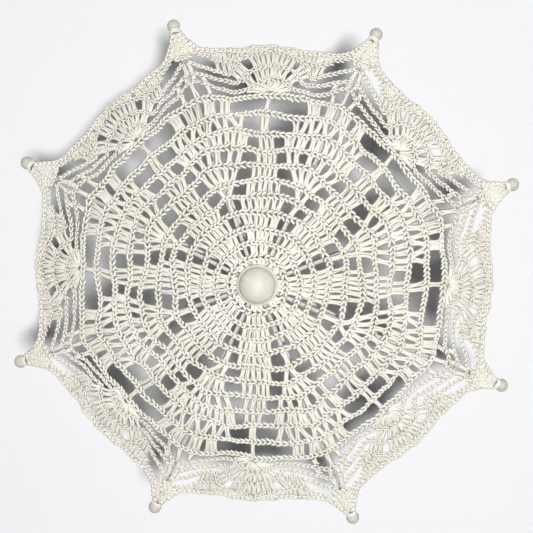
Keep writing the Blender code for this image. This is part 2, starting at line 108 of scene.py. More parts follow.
def wander(x, y):
    """Slow drift of hand-worked stitches, the same on both sides of a seam between sectors.

    It fades out towards the cap and across the edging.
    """
    radius = np.hypot(x, y) / TIP_R
    size = DRIFT * np.clip((0.88 - radius) / 0.15, 0, 1) * np.clip(radius / 0.3, 0, 1)
    dx = np.sin(131 * x + 47 * y + 1.3) + 0.6 * np.sin(-83 * x + 223 * y + 0.4)
    dx = dx + 0.35 * np.sin(410 * x - 260 * y + 0.9)
    dy = np.sin(59 * x - 149 * y + 2.1) + 0.6 * np.sin(241 * x + 71 * y + 4.0)
    dy = dy + 0.35 * np.sin(290 * x + 430 * y + 2.7)
    return x + size * dx, y + size * dy


def on_cloth(plan, azimuth):
    """World points and cloth normals for plan points (across, out, height) of the sector at azimuth."""
    across, out, height = np.moveaxis(plan, -1, 0)
    x = out * math.cos(azimuth) - across * math.sin(azimuth)
    y = out * math.sin(azimuth) + across * math.cos(azimuth)
    x, y = wander(x, y)
    radius, angle = np.hypot(x, y), np.arctan2(y, x)
    step = SLOPE_STEP
    fall = (cloth_height(radius + step, angle) - cloth_height(radius - step, angle)) / (2 * step)
    turn = step / radius
    tilt = (cloth_height(radius, angle + turn) - cloth_height(radius, angle - turn)) / (2 * step)
    outward = np.stack([np.cos(angle), np.sin(angle), np.zeros_like(angle)], -1)
    around = np.stack([-np.sin(angle), np.cos(angle), np.zeros_like(angle)], -1)
    normal = unit(np.array([0, 0, 1.0]) - fall[..., None] * outward - tilt[..., None] * around)
    points = np.stack([x, y, cloth_height(radius, angle)], -1)
    return points + height[..., None] * normal, normal


# ---- Camera ---------------------------------------------------------------------------------
VIEW_AZ, VIEW_EL = math.radians(309.8), math.radians(95.71)
VIEW_ROLL = math.radians(30.3)
VIEW_DISTANCE = 1.2
VIEW_TARGET = Vector((0, 0, 0.26))
LENS = 125.8
SHIFT_X, SHIFT_Y = 0.0109, 0.0246


def place_camera():
    away = Vector((
        math.cos(VIEW_EL) * math.sin(VIEW_AZ),
        -math.cos(VIEW_EL) * math.cos(VIEW_AZ),
        math.sin(VIEW_EL),
    ))
    right = Vector((math.cos(VIEW_AZ), math.sin(VIEW_AZ), 0))
    up = away.cross(right)
    turn = Matrix.Rotation(VIEW_ROLL, 3, away)
    right, up = turn @ right, turn @ up
    data = bpy.data.cameras.new("camera")
    data.lens = LENS
    data.shift_x, data.shift_y = SHIFT_X, SHIFT_Y
    camera = bpy.data.objects.new("camera", data)
    rotation = Matrix((right, up, away)).transposed().to_4x4()
    camera.matrix_world = Matrix.Translation(VIEW_TARGET + away * VIEW_DISTANCE) @ rotation
    bpy.context.scene.collection.objects.link(camera)
    bpy.context.scene.camera = camera
    return right, up, away


VIEW_RIGHT, VIEW_UP, VIEW_AWAY = place_camera()


# ---- Materials ------------------------------------------------------------------------------
class Nodes:
    """Short way to make and join the nodes of one material."""

    def __init__(self, name):
        self.material = bpy.data.materials.new(name)
        self.material.use_nodes = True
        self.tree = self.material.node_tree
        self.shader = self.tree.nodes["Principled BSDF"]

    def node(self, kind, values=(), **settings):
        made = self.tree.nodes.new(kind)
        for key, value in settings.items():
            setattr(made, key, value)
        for key, value in dict(values).items():
            socket = made.inputs[key]
            if isinstance(value, bpy.types.NodeSocket):
                self.tree.links.new(value, socket)
            else:
                socket.default_value = value
        return made

    def place(self):
        return self.node("ShaderNodeTexCoord").outputs["Object"]

    def noise(self, scale, detail=4.0, rough=0.55, vector=None):
        values = {"Vector": vector or self.place(), "Scale": scale, "Detail": detail, "Roughness": rough}
        return self.node("ShaderNodeTexNoise", values).outputs["Fac"]

    def math(self, operation, *inputs):
        values = dict(enumerate(inputs))
        return self.node("ShaderNodeMath", values, operation=operation).outputs[0]

    def ramp(self, value, *stops):
        """Colours or grey levels by value: stops are (position, colour)."""
        made = self.node("ShaderNodeValToRGB", {"Fac": value})
        elements = made.color_ramp.elements
        while len(elements) < len(stops):
            elements.new(0.5)
        for element, (position, colour) in zip(elements, stops):
            element.position = position
            element.color = (*colour, 1) if isinstance(colour, tuple) else (colour, colour, colour, 1)
        return made.outputs["Color"]

    def mix(self, share, first, second, blend="MIX"):
        made = self.node("ShaderNodeMix", data_type="RGBA", blend_type=blend)
        for index, value in ((0, share), (6, first), (7, second)):
            if isinstance(value, bpy.types.NodeSocket):
                self.tree.links.new(value, made.inputs[index])
            else:
                made.inputs[index].default_value = value
        return made.outputs[2]

    def bump(self, height, strength, distance, normal=None):
        values = {"Height": height, "Strength": strength, "Distance": distance}
        if normal:
            values["Normal"] = normal
        return self.node("ShaderNodeBump", values).outputs["Normal"]

    def finish(self, colour, roughness, normal=None, **constants):
        self.tree.links.new(colour, self.shader.inputs["Base Color"])
        self.tree.links.new(roughness, self.shader.inputs["Roughness"])
        if normal:
            self.tree.links.new(normal, self.shader.inputs["Normal"])
        for key, value in constants.items():
            self.shader.inputs[key.replace("_", " ")].default_value = value
        return self.material


def cotton():
    """Mercerised crochet cotton: three plies round each strand, soft fibres and slight yellowing, with
    painted shade in the grooves of the plies and brownish painted shade in the crevices between strands.
    """
    n = Nodes("crochet_cotton")
    ply = n.node("ShaderNodeUVMap", uv_map="ply").outputs["UV"]
    split = n.node("ShaderNodeSeparateXYZ", {"Vector": ply})
    around = n.math("MULTIPLY", split.outputs["X"], 3 * 2 * math.pi)
    along = n.math("MULTIPLY", split.outputs["Y"], 2 * math.pi / 1.5)
    twist = n.math("SINE", n.math("ADD", around, along))
    aged = n.ramp(n.noise(26, 3), (0.38, (0.784, 0.760, 0.690)), (0.62, (0.820, 0.799, 0.741)))
    fibre = n.ramp(n.noise(1900, 2), (0.3, 0.94), (0.7, 1.0))
    colour = n.mix(1.0, aged, fibre, "MULTIPLY")
    # Painted shade: the colour is darkened along the grooves between the plies, where shade falls.
    ply_groove_shade = n.ramp(n.math("MULTIPLY_ADD", twist, 0.5, 0.5), (0.0, 0.93), (0.5, 1.0))
    colour = n.mix(1.0, colour, ply_groove_shade, "MULTIPLY")
    # Painted shade: an ambient-occlusion node darkens the colour to brown in the crevices and gaps between
    # strands.
    occlusion_amount = n.node("ShaderNodeAmbientOcclusion", {"Distance": 0.0022}, samples=6).outputs["AO"]
    painted_crevice_shade = n.ramp(occlusion_amount, (0.06, (0.58, 0.50, 0.43)), (0.38, (1.0, 1.0, 1.0)))
    colour = n.mix(1.0, colour, painted_crevice_shade, "MULTIPLY")
    rough = n.ramp(n.noise(400, 2), (0.3, 0.72), (0.7, 0.90))
    normal = n.bump(twist, 0.55, 0.00012)
    normal = n.bump(n.noise(2600, 2), 0.35, 0.0001, normal)
    material = n.finish(colour, rough, normal, Specular_IOR_Level=0.25, Sheen_Weight=0.12,
                        Sheen_Roughness=0.5)
    n.shader.inputs["Sheen Tint"].default_value = (1.0, 0.97, 0.90, 1)
    return material


def ivory(name, dark, light):
    """Smooth cast ivory resin with faint darker clouds and fine handling marks."""
    n = Nodes(name)
    colour = n.ramp(n.noise(85, 3), (0.35, dark), (0.65, light))
    grime = n.ramp(n.noise(420, 5), (0.30, 0.93), (0.45, 1.0))
    colour = n.mix(1.0, colour, grime, "MULTIPLY")
    rough = n.ramp(n.noise(160, 4), (0.3, 0.50), (0.7, 0.64))
    normal = n.bump(n.noise(240, 3), 0.06, 0.0004)
    return n.finish(colour, rough, normal, Coat_Weight=0.06, Coat_Roughness=0.35, Specular_IOR_Level=0.3,
                    Subsurface_Weight=0.12, Subsurface_Scale=0.002)


def enamel():
    """Cream stoved enamel on the ribs and stretchers, thinner and greyer where it is handled."""
    n = Nodes("cream_enamel")
    colour = n.ramp(n.noise(60, 4), (0.35, (0.500, 0.500, 0.480)), (0.65, (0.590, 0.590, 0.570)))
    chips = n.ramp(n.noise(700, 3), (0.24, (0.30, 0.29, 0.27)), (0.29, (1.0, 1.0, 1.0)))
    colour = n.mix(1.0, colour, chips, "MULTIPLY")
    rough = n.ramp(n.noise(300, 3), (0.3, 0.46), (0.7, 0.62))
    normal = n.bump(n.noise(900, 2), 0.12, 0.0002)
    return n.finish(colour, rough, normal, Specular_IOR_Level=0.35)


def brushed(name, dark, light, tone_scale, metallic=1.0):
    """Drawn or turned metal, with streaks along +Z and dull patches."""
    n = Nodes(name)
    stretched = n.node("ShaderNodeMapping", {"Vector": n.place(), "Scale": (1, 1, 0.06)})
    streaks = n.noise(2200, 3, vector=stretched.outputs["Vector"])
    patches = n.noise(tone_scale, 4)
    colour = n.ramp(patches, (0.32, dark), (0.68, light))
    shade = n.ramp(streaks, (0.3, 0.88), (0.7, 1.0))
    colour = n.mix(1.0, colour, shade, "MULTIPLY")
    rough = n.ramp(patches, (0.3, 0.24), (0.7, 0.42))
    normal = n.bump(streaks, 0.10, 0.0001)
    return n.finish(colour, rough, normal, Metallic=metallic)


def painted_wood():
    """Turned wood under ivory paint: the grain shows faintly, and the paint is worn on the beads."""
    n = Nodes("painted_wood")
    stretched = n.node("ShaderNodeMapping", {"Vector": n.place(), "Scale": (1, 1, 0.09)})
    grain = n.noise(900, 5, 0.6, stretched.outputs["Vector"])
    colour = n.ramp(n.noise(55, 3), (0.35, (0.765, 0.715, 0.590)), (0.65, (0.835, 0.790, 0.675)))
    worn = n.ramp(n.noise(210, 5, 0.65), (0.27, (0.50, 0.37, 0.22)), (0.33, (1.0, 1.0, 1.0)))
    colour = n.mix(1.0, colour, worn, "MULTIPLY")
    shade = n.ramp(grain, (0.35, 0.94), (0.6, 1.0))
    colour = n.mix(1.0, colour, shade, "MULTIPLY")
    rough = n.ramp(n.noise(130, 3), (0.3, 0.34), (0.7, 0.52))
    normal = n.bump(grain, 0.20, 0.0002)
    return n.finish(colour, rough, normal, Coat_Weight=0.2, Coat_Roughness=0.3)


COTTON = cotton()
IVORY = ivory("ivory_resin", (0.590, 0.566, 0.500), (0.640, 0.618, 0.550))
TIP_IVORY = ivory("greyed_ivory_resin", (0.522, 0.512, 0.458), (0.566, 0.558, 0.505))
ENAMEL = enamel()
STEEL = brushed("bright_steel", (0.52, 0.52, 0.50), (0.68, 0.67, 0.65), 120)
BRASS = brushed("aged_brass", (0.50, 0.36, 0.15), (0.78, 0.60, 0.30), 90)
WOOD = painted_wood()


# ---- Crochet --------------------------------------------------------------------------------
# A motif is a strand's course: share of the way from start to end, share of the stitch's width
# to the side, and height above the middle of the cloth in millimetres.
YARN_R = 0.885 * MM                     # half the width of a strand
YARN_FLAT = 0.52                        # its thickness as a share of its width
SIDES = 4                               # a diamond section, widest across the cloth
END_SPREAD = 0.62                       # width of a strand at its ends, as a share of its full width
POST_SPREAD = 0.85                      # the same for a post's strands
TAPER_PEAK, TAPER_POWER = 1.04, 0.7     # width at a strand's middle, and how soon it is reached
LINK = 3.2 * MM                         # length of one chain link
LINE_W = 3.5 * MM                       # width of the line of links that ends a round
FIRST_LINE = 1.2                        # width of the line beside the cap, as a share of the others
STRAND_W = 2.35 * MM                    # width of a free chain
POST_W = 2.35 * MM                      # width of a post
LINE_THICK = 1.18                       # strands of the lines, as a share of YARN_R
STRAND_THICK = 0.95                     # strands of the free chains, as a share of YARN_R
POST_THICK = 1.12                       # strands of the posts, as a share of YARN_R
FAN_THICK = 1.25                        # posts of most fans, as a share of POST_THICK
EDGE_THICK = 1.05                       # posts of the shell and the spine, as a share of POST_THICK
CORNER_THICK = 0.90                     # posts of the shell's thick corner, as a share of POST_THICK
INSET_FOOT = 0.9 * MM                   # how far in from its foot a post's motif starts
INSET_HEAD = 0.6 * MM                   # and how far in from its head it stops

# Spread of the random draws that make each stitch its own.
WIDTH_SPREAD = 0.07                     # share of a stitch's width
LIFT_SPREAD = 0.15                      # share of the motif's heights
STACK_SPREAD = 0.16                     # height of a whole stitch, in millimetres
LINK_SPREAD = 0.18 * MM                 # place of a link
POST_PLACE = 0.30 * MM                  # place of a post's foot and head

LINK_LEG = np.array([
    (-0.08, 0.42, -0.45), (0.18, 0.42, 0.12), (0.50, 0.32, 0.52), (0.84, 0.16, 0.55), (1.14, 0.03, -0.25),
])
POST_LEG = np.array([
    (-0.05, 0.36, -0.45), (0.13, 0.31, -0.05), (0.32, 0.22, 0.15), (0.52, 0.19, 0.22),
    (0.70, 0.23, 0.15), (0.88, 0.37, 0.0), (1.05, 0.46, -0.45),
])


def mirrored(motif):
    return motif * np.array([1, -1, 1])


def resampled(points, count):
    """count + 1 points evenly spaced along a line."""
    along = np.concatenate([[0], np.cumsum(np.linalg.norm(np.diff(points, axis=0), axis=1))])
    wanted = np.linspace(0, along[-1], count + 1)
    return np.stack([np.interp(wanted, along, points[:, i]) for i in (0, 1)], 1)


def length(points):
    return float(np.linalg.norm(np.diff(points, axis=0), axis=1).sum())


def smooth(knots, steps=12):
    """A Catmull-Rom curve through the knots."""
    p = np.array(knots, float)
    p = np.vstack([2 * p[0] - p[1], p, 2 * p[-1] - p[-2]])
    t = np.linspace(0, 1, steps, endpoint=False)[:, None]
    runs = []
    for a, b, c, d in zip(p, p[1:], p[2:], p[3:]):
        runs.append(0.5 * (2 * b + (c - a) * t + (2 * a - 5 * b + 4 * c - d) * t**2
                           + (3 * b - a - 3 * c + d) * t**3))
    return np.vstack(runs + [p[-2:-1]])


def polar(share, degrees):
    """Plan point at a share of TIP_R from the shaft's axis and an angle from the rib."""
    angle = np.radians(degrees)
    return TIP_R * np.stack([share * np.sin(angle), share * np.cos(angle)], -1)


class Lace:
    """The strands of one sector, as world points in batches of equal length."""

    def __init__(self, azimuth, seed):
        self.azimuth = azimuth
        self.random = np.random.default_rng(seed)
        self.batches = []

    def strands(self, plan, thick, spread):
        """plan is strands x points x (across, out, height)."""
        points, normals = on_cloth(plan, self.azimuth)
        self.batches.append((points, normals, YARN_R * thick, spread))

    def motif(self, starts, ends, motif, width, thick, spread=END_SPREAD):
        """Works the motif from each start to its end."""
        way = ends - starts
        side = unit(np.stack([-way[:, 1], way[:, 0]], -1))
        count = len(starts)
        wide = width * (1 + WIDTH_SPREAD * self.random.standard_normal(count))
        plan = np.empty((count, len(motif), 3))
        plan[..., :2] = (
            starts[:, None] + way[:, None] * motif[None, :, :1]
            + side[:, None] * motif[None, :, 1:2] * wide[:, None, None]
        )
        lift = 1 + LIFT_SPREAD * self.random.standard_normal(count)
        stack = STACK_SPREAD * self.random.standard_normal(count)
        plan[..., 2] = (motif[None, :, 2] * lift[:, None] + stack[:, None]) * MM
        self.strands(plan, thick, spread)

    def chain(self, line, width=LINE_W, thick=LINE_THICK):
        """A row of interlocking loops along a line."""
        links = max(1, round(length(line) / LINK))
        points = resampled(line, links)
        points[1:-1] += LINK_SPREAD * self.random.standard_normal((links - 1, 2))
        for leg in (LINK_LEG, mirrored(LINK_LEG)):
            self.motif(points[:-1], points[1:], leg, width, thick)

    def posts(self, feet, heads, width=POST_W, thick=1.0):
        """Treble posts, each two strands that spread at the head, tucked under the lines at both ends."""
        feet, heads = np.atleast_2d(feet).astype(float), np.atleast_2d(heads).astype(float)
        way = unit(heads - feet)
        feet = feet + way * INSET_FOOT + POST_PLACE * self.random.standard_normal(feet.shape)
        heads = heads - way * INSET_HEAD + POST_PLACE * self.random.standard_normal(heads.shape)
        for leg in (POST_LEG, mirrored(POST_LEG)):
            self.motif(feet, heads, leg, width, thick * POST_THICK, POST_SPREAD)


# ---- The pattern ----------------------------------------------------------------------------
# Where each round's line of loops lies, as shares of TIP_R: on the rib, at mid-gore, and how
# fast it falls from one to the other. The first is under the cap.
ROUNDS = (
    (0.062, 0.062, 1.0), (0.100, 0.100, 1.0), (0.152, 0.152, 1.0), (0.204, 0.200, 1.0),
    (0.258, 0.258, 1.0), (0.320, 0.312, 1.2), (0.376, 0.367, 1.2), (0.450, 0.4165, 1.2),
    (0.508, 0.472, 1.1), (0.564, 0.539, 1.6), (0.630, 0.608, 2.3), (0.700, 0.672, 2.2),
)
# The solid block at mid-gore in rounds 1 to 11: its posts and half its angle in degrees.
GORE_BLOCKS = (
    (3, 15.5), (4, 15.8), (6, 16.5), (7, 16.0), (7, 13.0), (6, 9.9),
    (5, 7.9), (4, 5.2), (3, 3.4), (2, 1.8), (1, 0.9),
)


def clusters(centres, spread, count=3):
    """Angles of close groups of posts."""
    return (np.array(centres)[:, None] + np.linspace(-spread, spread, count)).ravel()


# The posts that fan out from the rib: round, angles of the feet, angles of the heads, and their
# thickness and width as a share of the other posts'.
V_STITCHES = np.linspace(-11.2, 11.2, 5)
RIB_FANS = (
    (5, np.array([0.0]), np.array([0.0]), FAN_THICK),
    (6, np.array([-1.0, 1.0]), np.array([-4.4, 4.4]), FAN_THICK),
    (7, np.linspace(-4.6, 4.6, 5), np.linspace(-8.2, 8.2, 5), FAN_THICK),
    (8, np.linspace(-9.4, 9.4, 6), np.linspace(-12.0, 12.0, 6), FAN_THICK),
    (9, clusters(np.linspace(-12.2, 12.2, 6), 1.0, 2), clusters(np.linspace(-13.2, 13.2, 6), 1.2, 2),
     FAN_THICK),
    (10, clusters(V_STITCHES, 0.55, 2), clusters(V_STITCHES, 2.1, 2), FAN_THICK),
    (11, clusters((-7.6, -2.6, 2.6, 7.6), 1.25), clusters((-8.6, -3.0, 3.0, 8.6), 1.4), 1.0),
)


def round_share(index, degrees):
    on_rib, mid_gore, fall = ROUNDS[index]
    away = 1 - np.abs(degrees) / HALF_DEG
    return mid_gore + (on_rib - mid_gore) * np.clip(away, 0, 1) ** fall


def block_angles(count, half_block):
    """Angles from the rib of a gore block's posts. One on the seam belongs to one sector only."""
    pitch = 2 * half_block / count
    first = 0.0 if count % 2 else 0.5
    offsets = (np.arange((count + 1) // 2) + first) * pitch
    left = offsets[offsets > 0]
    return np.concatenate([HALF_DEG - offsets, left - HALF_DEG])


def work_rounds(lace):
    sweep = np.linspace(-HALF_DEG, HALF_DEG, 91)
    for index in range(1, len(ROUNDS)):
        width = LINE_W * (FIRST_LINE if index == 1 else 1)
        lace.chain(polar(round_share(index, sweep), sweep), width)
        count, half_block = GORE_BLOCKS[index - 1]
        angles = block_angles(count, half_block)
        lace.posts(polar(round_share(index - 1, angles), angles), polar(round_share(index, angles), angles))
    for index, feet, heads, thick in RIB_FANS:
        lace.posts(polar(round_share(index - 1, feet), feet), polar(round_share(index, heads), heads),
                   POST_W * thick, thick)


# The edging: a shell at mid-gore, with its rows going on as free chains to the spine on the rib.
# Knots of each row's line from the rib to mid-gore, as shares of TIP_R (across, out).
SHELL_APEX = 0.680
ROW_LINES = (
    ((0, 0.766), (0.030, 0.756), (0.060, 0.734), (0.128, 0.697), (0.200, 0.672), (0.2376, 0.6868),
     (0.2816, 0.6852)),
    ((0.006, 0.802), (0.032, 0.790), (0.080, 0.757), (0.130, 0.728), (0.172, 0.708), (0.2216, 0.7388),
     (0.3008, 0.7332)),
    ((0.008, 0.852), (0.032, 0.832), (0.072, 0.803), (0.112, 0.773), (0.150, 0.746), (0.2048, 0.790),
     (0.3224, 0.7836)),
)
EDGE_LINE = (
    (0.009, 0.972), (0.028, 0.934), (0.050, 0.897), (0.070, 0.876), (0.112, 0.858), (0.165, 0.838),
    (0.212, 0.820), (0.258, 0.816), (0.2955, 0.800), (0.3295, 0.7955),
)
INNER_EDGE = ((0.018, 0.912), (0.040, 0.887), (0.062, 0.862), (0.102, 0.841), (0.150, 0.822))
EDGE_BUMP = 7.0 * MM                    # pitch of the small scallops on the edge
EDGE_RIPPLE = 0.65 * MM                 # and their height
SHELL_START = 1.8 * MM                  # from the apex to the feet of the first row
# The posts of each row, as angles about the apex from the gore's middle towards the rib: their
# feet, then their heads.
SHELL_ROWS = (
    ((0, 18, 36, 58, 80), (0, 18, 36, 57, 77)),
    ((0, 11.5, 23, 34.5, 51, 63), (0, 11.5, 23, 34.5, 50, 61)),
    ((0, 8, 16, 24, 32, 48, 55.5, 63), (0, 8, 16, 24, 32, 47.5, 54.5, 61.5)),
)
# The thick corner of the shell beside the spine: a line across it, and its posts on both sides.
CORNER_LINE = ((0.096, 0.832), (0.136, 0.801), (0.170, 0.793), (0.206, 0.795))
CORNER_FEET = ((0.120, 0.768), (0.136, 0.757), (0.151, 0.748), (0.167, 0.760), (0.184, 0.774))
CORNER_HEADS = ((0.120, 0.813), (0.138, 0.800), (0.155, 0.795), (0.172, 0.793), (0.189, 0.793))
# The corner's outer posts go from this point of its smoothed line to this part of the edge, given
# as shares of TIP_R across.
CORNER_FROM = 4
CORNER_EDGE = (0.106, 0.222)
CORNER_SPACES = 7                       # between these posts
# Short stitches that hold the edge over the shell: angles about the apex.
HOLD_ANGLES = np.arange(2.0, 32, 4.0)


def work_edging(lace, hand):
    """One half of the edging; hand is 1 or -1 for the side of the rib it lies on."""
    flip = np.array([hand, 1])
    apex = polar(SHELL_APEX, HALF_DEG)
    rows = [smooth(np.array(knots) * TIP_R) for knots in ROW_LINES]
    edge = smooth(np.array(EDGE_LINE) * TIP_R)
    ripple = np.sin(2 * math.pi * (edge[:, 0] - edge[-1, 0]) / EDGE_BUMP + math.pi / 2)
    fade = np.clip(edge[:, 0] / (0.1 * TIP_R) - 0.5, 0, 1)  # none at the point over the rib
    edge[:, 1] += EDGE_RIPPLE * ripple * fade

    def about_apex(line, angles):
        """Points where rays from the apex meet the line."""
        offset = line - apex
        turned = HALF_DEG - np.degrees(np.arctan2(offset[:, 0], offset[:, 1]))
        reach = np.linalg.norm(offset, axis=1)
        order = np.argsort(turned)
        angles = np.array(angles, float)
        radius = np.interp(angles, turned[order], reach[order])
        aim = np.radians(HALF_DEG - angles)
        return apex + radius[:, None] * np.stack([np.sin(aim), np.cos(aim)], -1)

    for line in rows:
        lace.chain(line * flip, STRAND_W, STRAND_THICK)
    lace.chain(edge * flip, STRAND_W)
    lace.chain(smooth(np.array(INNER_EDGE) * TIP_R) * flip, STRAND_W, STRAND_THICK)
    first = 0 if hand > 0 else 1        # the post on the seam belongs to one sector only
    for row, (feet, heads) in enumerate(SHELL_ROWS):
        feet, heads = np.array(feet[first:], float), np.array(heads[first:], float)
        if row == 0:
            aim = np.radians(HALF_DEG - feet)
            bottom = apex + SHELL_START * np.stack([np.sin(aim), np.cos(aim)], -1)
        else:
            bottom = about_apex(rows[row - 1], feet)
        lace.posts(bottom * flip, about_apex(rows[row], heads) * flip, thick=EDGE_THICK)
    corner = smooth(np.array(CORNER_LINE) * TIP_R)
    lace.chain(corner * flip, STRAND_W, STRAND_THICK)
    lace.posts(np.array(CORNER_FEET) * TIP_R * flip, np.array(CORNER_HEADS) * TIP_R * flip,
               thick=CORNER_THICK)
    near, far = CORNER_EDGE
    over = edge[(edge[:, 0] > near * TIP_R) & (edge[:, 0] < far * TIP_R)]
    feet, heads = resampled(corner[CORNER_FROM:], CORNER_SPACES), resampled(over, CORNER_SPACES)
    lace.posts(feet * flip, heads * flip, thick=CORNER_THICK)
    lace.posts(about_apex(rows[-1], HOLD_ANGLES) * flip, about_apex(edge, HOLD_ANGLES) * flip,
               thick=CORNER_THICK)


# The spine on the rib, as shares of TIP_R (across, out): its middle post, and the feet and heads
# of the posts that stand on both sides of it.
SPINE_FOOT, SPINE_HEAD = (0.0, 0.703), (0.0, 0.764)
SPINE_FEET = ((0.046, 0.699), (0.052, 0.744), (0.015, 0.768), (0.015, 0.798))
SPINE_HEADS = ((0.046, 0.741), (0.050, 0.776), (0.016, 0.796), (0.009, 0.852))
# The collar: posts gathered from a wide foot to a narrow head, under lines (out, half width).
COLLAR_POSTS = 6
COLLAR_FOOT, COLLAR_FOOT_OUT, COLLAR_DIP = 0.044, 0.862, 0.012
COLLAR_HEAD, COLLAR_HEAD_OUT = 0.009, 0.972
COLLAR_LINES = ((0.868, 0.034), (0.888, 0.050), (0.905, 0.040), (0.922, 0.030), (0.939, 0.020))
COLLAR_BEND = 0.10                      # how far out a line's ends lie, as a share of its half width
COLLAR_W = 0.75 * LINE_W


def work_spine(lace):
    """The stitches on the rib beyond the last round, and the gathered collar that ends at the neck."""
    lace.posts(np.array([SPINE_FOOT]) * TIP_R, np.array([SPINE_HEAD]) * TIP_R, thick=EDGE_THICK)
    feet, heads = np.array(SPINE_FEET) * TIP_R, np.array(SPINE_HEADS) * TIP_R
    for hand in (1, -1):
        lace.posts(feet * (hand, 1), heads * (hand, 1), thick=EDGE_THICK)
    gather = np.linspace(-1, 1, COLLAR_POSTS)
    feet = np.stack([COLLAR_FOOT * gather, COLLAR_FOOT_OUT + COLLAR_DIP * np.abs(gather)], -1)
    heads = np.stack([COLLAR_HEAD * gather, np.full(COLLAR_POSTS, COLLAR_HEAD_OUT)], -1)
    lace.posts(feet * TIP_R, heads * TIP_R, thick=EDGE_THICK)
    for out, half in COLLAR_LINES:
        across = np.linspace(-half, half, 9)
        line = np.stack([across, out + COLLAR_BEND * np.abs(across)], -1)
        lace.chain(line * TIP_R, COLLAR_W)
    bind_neck(lace)


WIND_TURNS, WIND_SAMPLES = 4, 72
WIND_START, WIND_LENGTH = -7.9, 3.9     # along the neck from the ball's middle, in millimetres


def bind_neck(lace):
    """The working yarn, wound round the tip's neck."""
    t = np.linspace(0, 1, WIND_SAMPLES)
    angle = 2 * math.pi * WIND_TURNS * t
    radius = NECK_R + 0.75 * YARN_R
    slope = float(rib_slope(TIP_R))
    outward = np.array([math.cos(lace.azimuth), math.sin(lace.azimuth), 0.0])
    axis = math.cos(slope) * outward - math.sin(slope) * np.array([0, 0, 1.0])
    top = math.sin(slope) * outward + math.cos(slope) * np.array([0, 0, 1.0])
    side = np.cross(axis, top)
    ups = np.cos(angle)[:, None] * top + np.sin(angle)[:, None] * side
    along = (t * WIND_LENGTH + WIND_START) * MM
    middle = TIP_R * outward + np.array([0, 0, TIP_Z]) + along[:, None] * axis
    lace.batches.append(((middle + radius * ups)[None], ups[None], YARN_R, END_SPREAD))


# ---- Meshes from strands --------------------------------------------------------------------
CELL_GAP = 0.08                         # empty border of a strand's cell in the bake's atlas


def tubes(batch, first_vertex):
    """Vertices, loop indices, polygon sizes and ply UVs of closed tubes along a batch of strands.

    cell is each loop's strand, and reach each strand's length in millimetres.
    """
    points, ups, radius, spread = batch
    count, steps, _ = points.shape
    tangent = unit(np.gradient(points, axis=1))
    side = unit(np.cross(tangent, ups))
    top = np.cross(side, tangent)
    angle = 2 * math.pi * np.arange(SIDES) / SIDES
    swell = np.sin(np.linspace(0, math.pi, steps)) ** TAPER_POWER
    taper = spread + (TAPER_PEAK - spread) * swell
    wide = (radius * taper)[None, :, None, None]
    ring = (wide * np.cos(angle)[None, None, :, None] * side[:, :, None]
            + wide * YARN_FLAT * np.sin(angle)[None, None, :, None] * top[:, :, None])
    vertices = (points[:, :, None] + ring).reshape(-1, 3)

    strand = np.arange(count)[:, None, None] * steps * SIDES + first_vertex
    step = np.arange(steps - 1)[None, :, None]
    k = np.arange(SIDES)[None, None, :]
    after = (k + 1) % SIDES
    a, b = strand + step * SIDES + k, strand + step * SIDES + after
    quads = np.stack([a, a + SIDES, b + SIDES, b], -1).reshape(-1)
    start_cap = (strand[:, 0] + np.arange(SIDES)).reshape(-1)
    end_cap = (strand[:, 0] + (steps - 1) * SIDES + np.arange(SIDES)[::-1]).reshape(-1)
    loops = np.concatenate([quads, start_cap, end_cap])
    sizes = np.concatenate([np.full(count * (steps - 1) * SIDES, 4), np.full(2 * count, SIDES)])

    run = np.linalg.norm(np.diff(points, axis=1), axis=2)
    run = np.concatenate([np.zeros((count, 1)), np.cumsum(run, axis=1)], 1) / MM
    shape = (count, steps - 1, SIDES)
    low = np.broadcast_to(run[:, :-1, None], shape)
    high = np.broadcast_to(run[:, 1:, None], shape)
    near = np.broadcast_to(k / SIDES, shape)
    far = near + 1 / SIDES
    ply = np.stack([np.stack([near, low], -1), np.stack([near, high], -1),
                    np.stack([far, high], -1), np.stack([far, low], -1)], 3).reshape(-1, 2)
    caps = np.stack([np.tile(np.arange(SIDES) / SIDES, 2 * count), np.zeros(2 * count * SIDES)], -1)
    caps[count * SIDES:, 1] = np.repeat(run[:, -1], SIDES)
    cell = np.concatenate([np.repeat(np.arange(count), (steps - 1) * SIDES * 4),
                           np.tile(np.repeat(np.arange(count), SIDES), 2)])
    reach = run[:, -1]
    ply = np.concatenate([ply, caps])
    return vertices, loops, sizes, ply, cell, reach


def strand_mesh(name, batches):
    """One mesh of all the strands, with the UV map of their plies and an atlas with a cell for each."""
    parts, first, cells = [], 0, 0
    for batch in batches:
        vertices, loops, sizes, ply, cell, reach = tubes(batch, first)
        atlas = np.stack([ply[:, 1] / reach[cell], ply[:, 0]], -1)
        parts.append((vertices, loops, sizes, ply, atlas, cell + cells))
        first += len(vertices)
        cells += len(reach)
    vertices, loops, sizes, ply, atlas, cell = (np.concatenate(x) for x in zip(*parts))
    side = math.ceil(math.sqrt(cells))
    corner = np.stack([cell % side, cell // side], -1)
    atlas = (corner + CELL_GAP + (1 - 2 * CELL_GAP) * atlas) / side

    mesh = bpy.data.meshes.new(name)
    mesh.vertices.add(len(vertices))
    mesh.vertices.foreach_set("co", vertices.astype(np.float32).ravel())
    mesh.loops.add(len(loops))
    mesh.loops.foreach_set("vertex_index", loops.astype(np.int32))
    mesh.polygons.add(len(sizes))
    starts = np.concatenate([[0], np.cumsum(sizes)[:-1]])
    mesh.polygons.foreach_set("loop_start", starts.astype(np.int32))
    mesh.update(calc_edges=True)
    mesh.polygons.foreach_set("use_smooth", np.ones(len(sizes), bool))
    for layer, values in (("ply", ply), ("OFBake", atlas)):
        uv = mesh.uv_layers.new(name=layer)
        uv.uv.foreach_set("vector", values.astype(np.float32).ravel())
    mesh.validate()
    return mesh


